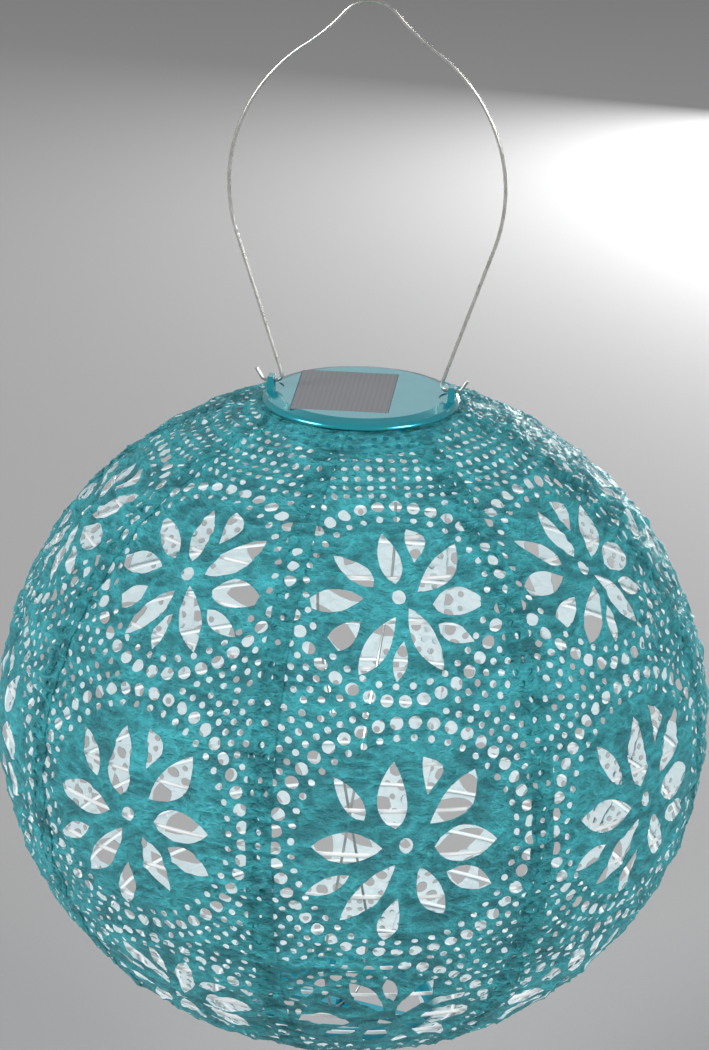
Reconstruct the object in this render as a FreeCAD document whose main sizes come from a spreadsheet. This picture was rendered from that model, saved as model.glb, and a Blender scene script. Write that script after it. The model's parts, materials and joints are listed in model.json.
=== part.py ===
# Hanging solar lantern: a patterned globe of eight gores on a wire rib, a round lid with a
# solar panel over the lamp housing, and a bent wire handle.
#
# Lengths are in millimetres. Every piece is drawn about the centre of the globe, with +Z up and
# +X through the two lugs that the handle hooks into. Its Placement then lowers it, so that the
# origin of the part is the hanging point, under the crown of the handle.

import math
import os

import FreeCAD
import Part
import Sketcher
from FreeCAD import Placement, Rotation, Vector

doc = FreeCAD.newDocument("SolarLantern")
sheet = doc.addObject("Spreadsheet::Sheet", "Sizes")
Z_AXIS = Vector(0, 0, 1)


class Size:
    """A length or angle: its value, and the same thing written as a spreadsheet expression."""

    def __init__(self, value, text=None):
        self.value = float(value)
        self.text = text if text else f"{self.value:g}"

    def combined(self, other, sign, value):
        return Size(value, f"({self.text} {sign} {other.text})")

    def __add__(self, other):
        other = as_size(other)
        return self.combined(other, "+", self.value + other.value)

    def __sub__(self, other):
        other = as_size(other)
        return self.combined(other, "-", self.value - other.value)

    def __mul__(self, other):
        other = as_size(other)
        return self.combined(other, "*", self.value * other.value)

    def __neg__(self):
        return Size(-self.value, f"(-1 * {self.text})")


def as_size(number):
    return number if isinstance(number, Size) else Size(number)


def cosine(angle):
    """The cosine of an angle in degrees."""
    return Size(math.cos(math.radians(angle.value)), f"cos({angle.text} * 1 deg)")


def sine(angle):
    """The sine of an angle in degrees."""
    return Size(math.sin(math.radians(angle.value)), f"sin({angle.text} * 1 deg)")


DRIVING = {
    # globe
    "globe_radius": 152.4,
    "globe_half_height": 144.8,
    "sheet_thickness": 0.4,
    "gore_angle": 44.9,
    "first_seam": -7.1,
    "edge_latitude": 75.25,
    "rib_radius": 0.85,
    "rib_inset": 1.5,
    "rib_pitch": 7.5,
    # hanging
    "hang_height": 312.55,
    "handle_radius": 0.75,
    "lug_reach": 38.5,
    "hinge_height": 147.15,
    "crown_height": 313.3,
    "crown_radius": 14.5,
    "shoulder_radius": 82.0,
    "shoulder_slope": 50.0,
    "belly_slope": 35.0,
    "leg_slope": 108.5,
    "hook_radius": 2.4,
    "hook_tip": 4.6,
    "hook_end": -58.0,
    # lid
    "lid_radius": 41.8,
    "lid_top": 144.2,
    "lid_flat_radius": 35.7,
    "lid_rim_bottom": 140.7,
    "rim_knee_radius": 40.2,
    "rim_knee_drop": 1.2,
    "rim_side_drop": 2.2,
    "lid_plate": 2.2,
    "rim_wall": 2.0,
    "rim_round": 1.6,
    "rim_foot_round": 0.3,
    "lug_width": 3.2,
    "lug_span": 8.2,
    "lug_crown_width": 2.6,
    "lug_crown_span": 5.4,
    "lug_top": 149.3,
    "lug_bar": 1.2,
    "lug_root": 1.7,
    "eye_span": 3.8,
    "scoop_radius": 9.5,
    "scoop_depth": 0.45,
    "panel_width": 41.0,
    "panel_length": 53.5,
    "panel_depth": 1.5,
    "panel_offset": -7.0,
    "panel_shift": -0.25,
    "panel_turn": 2.2,
    # housing under the lid
    "cup_radius": 34.5,
    "cup_wall": 1.5,
    "cup_floor": 127.5,
    "tab_reach": 37.0,
    "tab_bottom": 137.6,
    "tab_height": 1.2,
    "tab_width": 10.0,
    "screw_radius": 0.85,
    "screw_length": 9.0,
    "screw_head_radius": 2.1,
    "screw_head_height": 1.3,
    "boss_radius": 2.7,
    "battery_radius": 5.25,
    "battery_length": 43.6,
    "battery_offset": 16.0,
    "door_length": 50.0,
    "door_width": 14.0,
    "door_thickness": 1.2,
    "rail_height": 2.8,
    "led_radius": 2.5,
    "led_offset": -3.0,
    "switch_offset": -22.0,
    "board_bottom": 133.0,
    "board_thickness": 1.2,
    "board_width": 34.0,
    "board_length": 31.0,
    "lead_radius": 0.5,
    # rings at the two openings
    "ring_outer": 38.5,
    "ring_inner": 37.4,
    "flange_inner": 35.2,
    "flange_top": 140.6,
    "flange_height": 1.5,
    "seal_inner": 36.0,
    "seal_outer": 38.0,
    "ring_foot": 131.0,
    # expander
    "expander_radius": 0.6,
    "expander_reach": 35.9,
    "expander_end": 132.6,
    "expander_turn": 70.0,
    "expander_aside": 1.15,
}
SIZE = {name: Size(value, f"Sizes.{name}") for name, value in DRIVING.items()}
for row, (name, value) in enumerate(DRIVING.items(), start=1):
    sheet.set(f"A{row}", name)
    sheet.set(f"B{row}", f"{value:g}")
    sheet.setAlias(f"B{row}", name)
doc.recompute()

SCREW_SPOTS = [(0, 28), (26, -14), (-26, -14)]
TAB_ANGLES = [30, 150, 270]
LEADS = [-10, -4]  # across, of the two leads from the panel
LEAD_ROW = -8
GORES = 8
RIBS_EACH_SIDE = 9
TWIST = 25  # how far the lid turns between its notches and its locked place
CLEAR = 0.1  # between pieces that only lie against each other
PAST = 1.0  # how far a cutting shape runs past the face that it opens


def bind(thing, **sizes):
    """Set properties of an object and tie them to the spreadsheet."""
    for name, size in sizes.items():
        size = as_size(size)
        setattr(thing, name, size.value)
        thing.setExpression(name, size.text)
    return thing


def place(thing, spot=(0, 0, 0), turn=0, axis=Z_AXIS):
    """Put an object at a spot, turned about an axis, with the spot tied to the spreadsheet."""
    spot = [as_size(length) for length in spot]
    thing.Placement = Placement(Vector(*[length.value for length in spot]), Rotation(axis, turn))
    for letter, length in zip("xyz", spot):
        thing.setExpression(f"Placement.Base.{letter}", length.text)
    return thing


def box(name, length, width, height, spot, turn=0):
    """A block standing on spot, which is the middle of its bottom face."""
    made = doc.addObject("Part::Box", name)
    bind(made, Length=length, Width=width, Height=height)
    length, width = as_size(length), as_size(width)
    angle = math.radians(turn)
    half = [length * 0.5, width * 0.5]
    across = half[0] * math.cos(angle) - half[1] * math.sin(angle)
    along = half[0] * math.sin(angle) + half[1] * math.cos(angle)
    x, y, z = [as_size(value) for value in spot]
    return place(made, (x - across, y - along, z), turn)


def cylinder(name, radius, height, spot, axis="z"):
    """A rod that starts at spot and runs along an axis."""
    made = doc.addObject("Part::Cylinder", name)
    bind(made, Radius=radius, Height=height)
    turns = {"z": (0, Z_AXIS), "x": (90, Vector(0, 1, 0)), "y": (-90, Vector(1, 0, 0))}
    turn, about = turns[axis]
    return place(made, spot, turn, about)


def cut(name, base, *tools):
    """Base with the tools taken away."""
    tool = tools[0]
    if len(tools) > 1:
        tool = fuse(name + "_tools", *tools)
    made = doc.addObject("Part::Cut", name)
    made.Base, made.Tool = base, tool
    return made


def fuse(name, *shapes):
    """The shapes joined in one solid."""
    made = doc.addObject("Part::MultiFuse", name)
    made.Shapes = list(shapes)
    return made


def group(name, *shapes):
    """Separate solids that share one node."""
    made = doc.addObject("Part::Compound", name)
    made.Links = list(shapes)
    return made


def ring(name, inner, outer, bottom, height):
    """A round ring about the Z axis."""
    whole = cylinder(name + "_outside", outer, height, (0, 0, bottom))
    hole = cylinder(name + "_hole", inner, as_size(height) + 2, (0, 0, as_size(bottom) - 1))
    return cut(name, whole, hole)


def piece(label, thing, turn=0):
    """Name a finished piece, and lower it from the globe's centre to the hanging point."""
    thing.Label = label
    place(thing, (0, 0, -SIZE["hang_height"]), turn)
    PIECES.append(thing)
    return thing


PIECES = []


def turned_body(name, outline):
    """A PartDesign body turned about Z from an outline of (radius, height) corners."""
    body = doc.addObject("PartDesign::Body", name)
    plane = next(item for item in body.Origin.OriginFeatures if item.Role == "XZ_Plane")
    sketch = body.newObject("Sketcher::SketchObject", name + "_outline")
    sketch.AttachmentSupport = [(plane, "")]
    sketch.MapMode = "FlatFace"
    corners = [(as_size(radius), as_size(height)) for radius, height in outline]
    points = [Vector(radius.value, height.value, 0) for radius, height in corners]
    for number, point in enumerate(points):
        sketch.addGeometry(Part.LineSegment(point, points[(number + 1) % len(points)]), False)
    for number in range(len(points)):
        sketch.addConstraint(
            Sketcher.Constraint("Coincident", number, 2, (number + 1) % len(points), 1)
        )
    for number, (radius, height) in enumerate(corners):
        for kind, size in (("DistanceX", radius), ("DistanceY", height)):
            index = sketch.addConstraint(
                Sketcher.Constraint(kind, -1, 1, number, 1, size.value)
            )
            sketch.setExpression(f"Constraints[{index}]", size.text)
    turned = body.newObject("PartDesign::Revolution", name + "_turned")
    turned.Profile = sketch
    turned.ReferenceAxis = (sketch, ["V_Axis"])
    turned.Angle = 360
    return body


def rounded(body, name, radius, wanted):
    """Round the edges of a body that wanted picks out."""
    doc.recompute()
    tip = body.Tip
    names = [f"Edge{n}" for n, edge in enumerate(tip.Shape.Edges, start=1) if wanted(edge)]
    fillet = body.newObject("PartDesign::Fillet", name)
    fillet.Base = (tip, names)
    bind(fillet, Radius=radius)
    return body


def tube(name, edges, radius):
    """A round wire swept along a path of edges that meet tangentially."""
    path = doc.addObject("Part::Feature", name + "_path")
    path.Shape = Part.Wire(edges)
    first = path.Shape.Edges[0]
    start = first.valueAt(first.FirstParameter)
    along = first.tangentAt(first.FirstParameter)
    section = doc.addObject("Part::Circle", name + "_section")
    bind(section, Radius=radius)
    section.Placement = Placement(start, Rotation(Z_AXIS, along))
    sweep = doc.addObject("Part::Sweep", name)
    sweep.Sections = [section]
    sweep.Spine = (path, [f"Edge{n}" for n in range(1, len(path.Shape.Edges) + 1)])
    sweep.Solid = True
    sweep.Frenet = False
    return sweep


def bent_path(start, heading, bends):
    """Edges in the XZ plane from a start point: heading is the slope below +X in degrees, and
    each bend is ("line", length) or ("arc", radius, heading at its end)."""
    x, z = start
    edges = []
    for bend in bends:
        slope = math.radians(heading)
        if bend[0] == "line":
            end_x, end_z = x + bend[1] * math.cos(slope), z - bend[1] * math.sin(slope)
            edges.append(Part.LineSegment(Vector(x, 0, z), Vector(end_x, 0, end_z)).toShape())
        else:
            side = 1 if bend[2] > heading else -1
            ends = []
            for angle in ((heading + bend[2]) / 2, bend[2]):
                turned = math.radians(angle)
                ends.append(
                    (
                        x + side * bend[1] * (math.sin(turned) - math.sin(slope)),
                        z + side * bend[1] * (math.cos(turned) - math.cos(slope)),
                    )
                )
            middle, end = ends
            edges.append(
                Part.Arc(
                    Vector(x, 0, z), Vector(middle[0], 0, middle[1]), Vector(end[0], 0, end[1])
                ).toShape()
            )
            end_x, end_z = end
            heading = bend[2]
        x, z = end_x, end_z
    return edges


def rounded_path(corners):
    """Straight runs joined by tangent arcs: corners are (point, radius of the bend there)."""
    edges = []
    here = corners[0][0]
    for number in range(1, len(corners) - 1):
        corner, radius = corners[number]
        before, after = corners[number - 1][0], corners[number + 1][0]
        back = (before - corner).normalize()
        ahead = (after - corner).normalize()
        half = back.getAngle(ahead) / 2
        reach = radius / math.tan(half)
        start, end = corner + back * reach, corner + ahead * reach
        inward = (back + ahead).normalize()
        middle = corner + inward * (radius / math.sin(half) - radius)
        edges.append(Part.LineSegment(here, start).toShape())
        edges.append(Part.Arc(start, middle, end).toShape())
        here = end
    edges.append(Part.LineSegment(here, corners[-1][0]).toShape())
    return edges


# ---- the handle -------------------------------------------------------------------------------


def bail_handle():
    """One wire, bent to a crowned arch, whose ends hook outwards through the lugs."""
    crown, shoulder = DRIVING["crown_radius"], DRIVING["shoulder_radius"]
    hook, slope = DRIVING["hook_radius"], DRIVING["leg_slope"]
    tilts = [math.radians(DRIVING[k]) for k in ("shoulder_slope", "belly_slope", "leg_slope")]
    top, turn, leg = tilts
    eye = DRIVING["lug_width"] + 0.9
    eye_start = DRIVING["lug_reach"] - eye / 2
    # the shoulder ends where the belly starts
    belly_x = crown * math.sin(top) + shoulder * (math.sin(top) - math.sin(turn))
    belly_z = DRIVING["crown_height"] - crown * (1 - math.cos(top))
    belly_z -= shoulder * (math.cos(turn) - math.cos(top))
    # the leg ends where the hook starts
    leg_x = eye_start - hook * math.sin(leg)
    leg_z = DRIVING["hinge_height"] + hook * (1 - math.cos(leg))
    # belly radius and leg length that join the two
    wide, deep = leg_x - belly_x, belly_z - leg_z
    a, b = math.sin(leg) - math.sin(turn), math.cos(turn) - math.cos(leg)
    shift, drop = math.cos(leg), math.sin(leg)
    belly = (wide * drop - deep * shift) / (a * drop - b * shift)
    leg_length = (deep - b * belly) / drop
    half = [
        ("arc", crown, DRIVING["shoulder_slope"]),
        ("arc", shoulder, DRIVING["belly_slope"]),
        ("arc", belly, slope),
        ("line", leg_length),
        ("arc", hook, 0),
        ("line", eye),
        ("arc", hook, DRIVING["hook_end"]),
        ("line", DRIVING["hook_tip"]),
    ]
    right = bent_path((0, DRIVING["crown_height"]), 0, half)
    mirror = FreeCAD.Matrix()
    mirror.A11 = -1
    left = [edge.transformGeometry(mirror) for edge in right]
    ordered = Part.__sortEdges__(left + right)
    return piece("bail_handle", tube("handle_wire", ordered, SIZE["handle_radius"]))


# ---- the lid ----------------------------------------------------------------------------------


def lid():
    """A shallow turned dish with a sloped rim, two lugs, a recess for the panel and bosses."""
    s = SIZE
    under = s["lid_top"] - s["lid_plate"]
    body = turned_body(
        "lid_dish",
        [
            (0, under),
            (s["lid_radius"] - s["rim_wall"], under),
            (s["lid_radius"] - s["rim_wall"], s["lid_rim_bottom"]),
            (s["lid_radius"], s["lid_rim_bottom"]),
            (s["lid_radius"], s["lid_top"] - s["rim_side_drop"]),
            (s["rim_knee_radius"], s["lid_top"] - s["rim_knee_drop"]),
            (s["lid_flat_radius"], s["lid_top"]),
            (0, s["lid_top"]),
        ],
    )
    top = DRIVING["lid_top"]
    foot = (DRIVING["lid_radius"], DRIVING["lid_rim_bottom"])
    turns = [
        (DRIVING["lid_radius"], top - DRIVING["rim_side_drop"]),
        (DRIVING["rim_knee_radius"], top - DRIVING["rim_knee_drop"]),
        (DRIVING["lid_flat_radius"], top),
    ]

    def circle_at(edge, *places):
        spot = edge.valueAt(edge.FirstParameter)
        out = math.hypot(spot.x, spot.y)
        level = edge.BoundBox.ZLength < 0.01
        return level and any(math.hypot(out - r, spot.z - z) < 0.01 for r, z in places)

    rounded(body, "rim_top_round", s["rim_round"], lambda edge: circle_at(edge, *turns))
    rounded(body, "rim_foot_round", s["rim_foot_round"], lambda edge: circle_at(edge, foot))
    scoops = [
        cylinder(
            f"scoop_{side}",
            s["scoop_radius"],
            5,
            ((s["lug_reach"] + 4) * sign, 0, s["lid_top"] - s["scoop_depth"]),
        )
        for side, sign in (("right", 1), ("left", -1))
    ]
    recess = box(
        "panel_recess",
        s["panel_width"] + 0.4,
        s["panel_length"] + 0.4,
        5,
        (s["panel_offset"], s["panel_shift"], s["lid_top"] - s["panel_depth"]),
        DRIVING["panel_turn"],
    )
    lead_holes = [
        cylinder(f"lead_hole_{x}", s["lead_radius"] + 0.6, 8, (x, LEAD_ROW, s["lid_top"] - 6))
        for x in LEADS
    ]
    dish = cut("lid_cut", body, recess, *scoops, *lead_holes)
    lugs = [lug(side, sign) for side, sign in (("right", 1), ("left", -1))]
    bosses = []
    for number, (x, y) in enumerate(SCREW_SPOTS):
        foot = s["cup_floor"] + s["cup_wall"] + CLEAR
        post = cylinder(f"boss_{number}", s["boss_radius"], under + 0.5 - foot, (x, y, foot))
        pilot = cylinder(f"pilot_{number}", s["screw_radius"] + 0.05, 9.5, (x, y, foot - 1))
        bosses.append(cut(f"boss_bored_{number}", post, pilot))
    return piece("cap_lid", fuse("lid_whole", dish, *lugs, *bosses))


def lug(side, sign):
    """A tapered arch over the handle's hook, open along X."""
    s = SIZE
    foot = s["lid_top"] - s["lug_root"]
    spot = (s["lug_reach"] * sign, 0)
    # a wedge tapers along its own Y, which is turned upright
    block = doc.addObject("Part::Wedge", f"lug_{side}_block")
    bind(
        block,
        Xmin=s["lug_width"] * -0.5,
        Xmax=s["lug_width"] * 0.5,
        Ymin=0,
        Ymax=s["lug_top"] - foot,
        Zmin=s["lug_span"] * -0.5,
        Zmax=s["lug_span"] * 0.5,
        X2min=s["lug_crown_width"] * -0.5,
        X2max=s["lug_crown_width"] * 0.5,
        Z2min=s["lug_crown_span"] * -0.5,
        Z2max=s["lug_crown_span"] * 0.5,
    )
    place(block, (*spot, foot), 90, Vector(1, 0, 0))
    eye_top = s["lug_top"] - s["lug_bar"]
    eye_bottom = s["lid_top"] + 0.2
    height = eye_top - eye_bottom
    eye = box(f"lug_{side}_eye", s["lug_width"] + 2, s["eye_span"], height, (*spot, eye_bottom))
    return cut(f"lug_{side}", block, eye)


def solar_panel():
    """The cell board, its film and the pad that it is stuck down with, flush in the recess."""
    s = SIZE
    turn = DRIVING["panel_turn"]
    base = s["lid_top"] - s["panel_depth"]
    spot = (s["panel_offset"], s["panel_shift"])
    width, length = s["panel_width"], s["panel_length"]
    pad_depth, board_depth, film_depth = 0.25, 0.9, 0.35
    pad = box("pad_block", width - 2, length - 2, pad_depth, (*spot, base), turn)
    window = box("pad_window", width - 13, length - 12, 2, (*spot, base - PAST), turn)
    piece("panel_pad", cut("pad_frame", pad, window))
    board_low = base + pad_depth
    board = box("cell_board_block", width, length, board_depth, (*spot, board_low), turn)
    piece("solar_cell_board", group("cell_board", board))
    film = box("film_block", width, length, film_depth, (*spot, board_low + board_depth), turn)
    piece("panel_film", group("film", film))


# ---- the housing under the lid ------------------------------------------------------------------


def housing():
    """A cup under the lid, with bayonet tabs, a battery opening, door rails and lamp openings."""
    s = SIZE
    floor, wall = s["cup_floor"], s["cup_wall"]
    top = s["lid_top"] - s["lid_plate"] - CLEAR
    outside = cylinder("cup_outside", s["cup_radius"], top - floor, (0, 0, floor))
    inside = cylinder("cup_inside", s["cup_radius"] - wall, 30, (0, 0, floor + wall))
    mouth = box("battery_mouth", 46, 11.6, 6, (0, s["battery_offset"], floor - 2))
    lamp = cylinder("lamp_hole", s["led_radius"] + 0.15, 6, (0, s["led_offset"], floor - 2))
    slot = box("switch_slot", 6.6, 2.2, 6, (0, s["switch_offset"], floor - 2))
    holes = [
        cylinder(f"screw_hole_{number}", s["screw_radius"] + 0.2, 6, (x, y, floor - 2))
        for number, (x, y) in enumerate(SCREW_SPOTS)
    ]
    cup = cut("cup_cut", outside, inside, mouth, lamp, slot, *holes)
    tabs = []
    for angle in TAB_ANGLES:
        middle = (s["tab_reach"] + s["cup_radius"] - 1) * 0.5
        spin = math.radians(angle)
        spot = (middle * math.cos(spin), middle * math.sin(spin), s["tab_bottom"])
        length = s["tab_reach"] - s["cup_radius"] + 1
        tabs.append(box(f"tab_{angle}", length, s["tab_width"], s["tab_height"], spot, angle))
    rails = []
    for name, side in (("front", -1), ("back", 1)):
        reach = s["door_width"] * 0.5 + 0.8
        middle = s["battery_offset"] + reach * side
        low = floor - s["rail_height"]
        rails.append(
            box(f"rail_{name}", s["door_length"], 1, s["rail_height"], (0, middle, low))
        )
        lip = middle - 0.6 * side
        rails.append(box(f"rail_lip_{name}", s["door_length"], 1.6, 0.9, (0, lip, low)))
    return piece("housing_cup", fuse("cup_whole", cup, *tabs, *rails))


def battery_door():
    """A plate with finger ridges that slides along its two rails."""
    s = SIZE
    top = s["cup_floor"] - CLEAR
    bottom = top - s["door_thickness"]
    spot = (0, s["battery_offset"], bottom)
    plate = box("door_plate", s["door_length"], s["door_width"], s["door_thickness"], spot)
    ridges = [
        box(f"door_ridge_{x}", 0.8, 8, 1.0, (x, s["battery_offset"], bottom - 0.8))
        for x in (-20, -18, -16)
    ]
    return piece("battery_door", fuse("door_whole", plate, *ridges))


def screws():
    """Three pan-head screws that hold the housing up against the lid."""
    s = SIZE
    made = []
    for number, (x, y) in enumerate(SCREW_SPOTS):
        under = s["cup_floor"] - 0.05
        height = s["screw_head_height"]
        head_radius = s["screw_head_radius"]
        head = cylinder(f"screw_head_{number}", head_radius, height, (x, y, under - height))
        shank = cylinder(
            f"screw_shank_{number}", s["screw_radius"], s["screw_length"], (x, y, under - 0.1)
        )
        slot = box(f"screw_slot_{number}", 3.4, 0.6, 1.2, (x, y, under - 1.9), 20 + 50 * number)
        made.append(cut(f"screw_{number}", fuse(f"screw_blank_{number}", head, shank), slot))
    return piece("housing_screws", group("screw_set", *made))


def battery():
    """A slim rechargeable cell with its raised contact."""
    s = SIZE
    middle = s["cup_floor"] + s["cup_wall"] + 0.4 + s["battery_radius"]
    spot = (-21.3, s["battery_offset"], middle)
    can = cylinder("cell_can", s["battery_radius"], s["battery_length"], spot, "x")
    nub = cylinder("cell_nub", 1.9, s["battery_length"] + 0.8, spot, "x")
    piece("battery_cell", fuse("cell_whole", can, nub))
    plus = box("plus_block", 0.4, 9, 9, (23.6, s["battery_offset"], middle - 4.5))
    piece("positive_contact", group("plus_plate", plus))
    minus = box("minus_block", 0.4, 9, 9, (-25.1, s["battery_offset"], middle - 4.5))
    piece("negative_contact", group("minus_plate", minus))
    helix = doc.addObject("Part::Helix", "spring_helix")
    bind(helix, Radius=3.0, Pitch=1.0, Height=2.8)
    section = doc.addObject("Part::Circle", "spring_section")
    bind(section, Radius=0.25)
    section.Placement = Placement(Vector(3, 0, 0), Rotation(Vector(1, 0, 0), 90))
    coil = doc.addObject("Part::Sweep", "spring_coil")
    coil.Sections = [section]
    coil.Spine = (helix, ["Edge1"])
    coil.Solid = True
    coil.Frenet = True
    place(coil, (-24.6, s["battery_offset"], middle), 90, Vector(0, 1, 0))
    piece("battery_spring", group("spring", coil))


def electronics():
    """The circuit board with its chip, coil, lamp and switch."""
    s = SIZE
    low = s["board_bottom"]
    high = low + s["board_thickness"]
    board = box(
        "board_block", s["board_width"], s["board_length"], s["board_thickness"], (0, -11.5, low)
    )
    piece("circuit_board", group("board", board))
    chip = box("chip_block", 5, 4, 1.5, (8, -12, high))
    piece("charge_chip", group("chip", chip))
    core = cylinder("coil_core", 2.2, 5.5, (-11, -4, high + 2.25), "x")
    piece("boost_coil", group("coil", core))
    radius, lamp_y = s["led_radius"], s["led_offset"]
    dome = doc.addObject("Part::Sphere", "led_dome")
    bind(dome, Radius=radius)
    place(dome, (0, lamp_y, s["cup_floor"] - 4))
    barrel = cylinder("led_barrel", radius, 7, (0, lamp_y, s["cup_floor"] - 4))
    collar = cylinder("led_collar", radius + 0.4, 1, (0, lamp_y, s["cup_floor"] + 2))
    pins = [cylinder(f"led_pin_{x}", 0.25, 2.4, (x, lamp_y, low - 2.5)) for x in (-1.27, 1.27)]
    piece("led_lamp", fuse("led_whole", dome, barrel, collar, *pins))
    case_top = low - CLEAR
    case_low = s["cup_floor"] + s["cup_wall"] + 0.15
    case = box("switch_case", 8.6, 4, case_top - case_low, (0, s["switch_offset"], case_low))
    well = box("switch_well", 5.6, 2, 2.6, (0, s["switch_offset"], case_low - 1))
    piece("switch_body", cut("switch_cut", case, well))
    stem = box("slider_stem", 2, 1.5, 3.4, (-1, s["switch_offset"], s["cup_floor"] - 0.6))
    knob = box("slider_knob", 4.2, 3.2, 1.6, (-1, s["switch_offset"], s["cup_floor"] - 1.9))
    piece("switch_slider", fuse("slider_whole", stem, knob))


def leads():
    """Short insulated leads: two from the panel and two from the battery contacts."""
    s = SIZE
    low = s["board_bottom"] + s["board_thickness"] + CLEAR
    length = s["lid_top"] - s["panel_depth"] + 0.15 - low
    made = [
        cylinder(f"panel_lead_{x}", s["lead_radius"], length, (x, LEAD_ROW, low)) for x in LEADS
    ]
    piece("solar_leads", group("panel_leads", *made))
    height = low.value
    made = []
    for name, side, far in (("minus", -1, 24.7), ("plus", 1, 23.2)):
        route = [
            (Vector(side * far, 11.0, height + 5.2), 0),
            (Vector(side * (far - 3), 8.2, height + 6.2), 2.0),
            (Vector(side * 15.5, 3.0, height + 5.2), 2.5),
            (Vector(side * 15.0, 2.2, height), 0),
        ]
        made.append(tube(f"cell_lead_{name}", rounded_path(route), s["lead_radius"]))
    piece("battery_leads", group("cell_leads", *made))


# ---- the globe ----------------------------------------------------------------------------------


def neck_ring():
    """The ring in the globe's neck: a wall, a flange notched for the bayonet, expander holes."""
    s = SIZE
    foot = s["ring_foot"]
    wall = ring("neck_wall", s["ring_inner"], s["ring_outer"], foot, s["flange_top"] - foot)
    flange = ring(
        "neck_flange",
        s["flange_inner"],
        s["ring_outer"] - 0.5,
        s["flange_top"] - s["flange_height"],
        s["flange_height"],
    )
    notches = []
    for angle in TAB_ANGLES:
        spin = math.radians(angle + TWIST)
        reach = s["flange_inner"]
        spot = (reach * math.cos(spin), reach * math.sin(spin), s["flange_top"] - 4)
        notches.append(box(f"notch_{angle}", 4.2, 11.5, 8, spot, angle + TWIST))
    bores = expander_bores("neck", s["expander_end"])
    whole = fuse("neck_joined", wall, flange)
    return piece("neck_ring", cut("neck_whole", whole, *notches, *bores))


def expander_bores(name, height):
    """Two small holes through a ring wall, opposite each other, for the expander's tips."""
    made = []
    for number, angle in enumerate((0, 180)):
        turn = DRIVING["expander_turn"] + angle
        spin = math.radians(turn)
        bore = doc.addObject("Part::Cylinder", f"{name}_bore_{number}")
        bind(bore, Radius=SIZE["expander_radius"] + 0.15, Height=5)
        start = SIZE["ring_inner"] - 2
        place(bore, (start * math.cos(spin), start * math.sin(spin), height))
        bore.Placement.Rotation = Rotation(Z_AXIS, turn) * Rotation(Vector(0, 1, 0), 90)
        made.append(bore)
    return made


def seal_ring():
    """A foam washer under the lid, over the neck flange."""
    s = SIZE
    low = s["flange_top"] + CLEAR
    height = s["lid_top"] - s["lid_plate"] - CLEAR - low
    washer = ring("washer", s["seal_inner"], s["seal_outer"], low, height)
    return piece("seal_ring", washer)


def bottom_ring():
    """The ring in the bottom opening, with a bar across it that the expander presses on."""
    s = SIZE
    low = -s["flange_top"]
    wall = ring("foot_wall", s["ring_inner"], s["ring_outer"], low, 7)
    flange = ring("foot_flange", s["flange_inner"], s["ring_outer"] - 0.5, low, s["flange_height"])
    turn = DRIVING["expander_turn"]
    bar = box("foot_bar", 9, s["ring_inner"] * 2 + 0.6, 1.8, (0, 0, low), turn)
    cheeks = [
        box(f"foot_cheek_{side}", 7, 1.2, 2.6, cheek_spot(side * 2.1, low + 1.6), turn)
        for side in (-1, 1)
    ]
    return piece("bottom_ring", fuse("foot_whole", wall, flange, bar, *cheeks))


def cheek_spot(aside, height):
    """A point beside the expander's plane."""
    spin = math.radians(DRIVING["expander_turn"])
    return (-aside * math.sin(spin), aside * math.cos(spin), height)


def expander_wire():
    """One sprung wire: hooked tips at the neck, legs that cross, and a loop on the bottom bar."""
    reach, end = DRIVING["expander_reach"], DRIVING["expander_end"]
    foot = -DRIVING["flange_top"] + 1.8 + CLEAR + DRIVING["expander_radius"]
    # the lower corners lie aside, so that the legs pass each other where they cross
    aside = DRIVING["expander_aside"]
    route = [
        (Vector(reach + 2.4, 0, end), 0),
        (Vector(reach, 0, end), 1.2),
        (Vector(reach, 0, 52), 110.0),
        (Vector(-20, aside, -112), 22.0),
        (Vector(-13, aside * 0.4, foot), 9.0),
        (Vector(13, -aside * 0.4, foot), 9.0),
        (Vector(20, -aside, -112), 22.0),
        (Vector(-reach, 0, 52), 110.0),
        (Vector(-reach, 0, end), 1.2),
        (Vector(-reach - 2.4, 0, end), 0),
    ]
    wire = tube("expander_tube", rounded_path(route), SIZE["expander_radius"])
    return piece("expander_wire", group("expander", wire), DRIVING["expander_turn"])


def rib_wire():
    """The ribs that hold the gores round: level hoops, evenly spaced in latitude."""
    s = SIZE
    hoops = []
    for number in range(-RIBS_EACH_SIDE, RIBS_EACH_SIDE + 1):
        latitude = s["rib_pitch"] * number
        hoop = doc.addObject("Part::Torus", f"hoop_{number + RIBS_EACH_SIDE}")
        bind(
            hoop,
            Radius1=(s["globe_radius"] - s["rib_inset"]) * cosine(latitude),
            Radius2=s["rib_radius"],
        )
        place(hoop, (0, 0, (s["globe_half_height"] - s["rib_inset"]) * sine(latitude)))
        hoops.append(hoop)
    return piece("rib_wire", group("ribs", *hoops))


def shell_section():
    """The section of the thin sheet, between two ellipses, from one opening to the other."""
    latitude = math.radians(DRIVING["edge_latitude"])
    curves = []
    for inset in (0, DRIVING["sheet_thickness"]):
        across = DRIVING["globe_radius"] - inset
        along = DRIVING["globe_half_height"] - inset
        ellipse = Part.Ellipse(Vector(across, 0, 0), Vector(0, 0, along), Vector(0, 0, 0))
        curves.append(Part.ArcOfEllipse(ellipse, -latitude, latitude))
    outer, inner = curves
    sides = [outer.toShape(), inner.toShape()]
    for end in ("StartPoint", "EndPoint"):
        sides.append(Part.LineSegment(getattr(outer, end), getattr(inner, end)).toShape())
    section = doc.addObject("Part::Feature", "shell_section")
    section.Shape = Part.Face(Part.Wire(Part.__sortEdges__(sides)))
    return section


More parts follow.
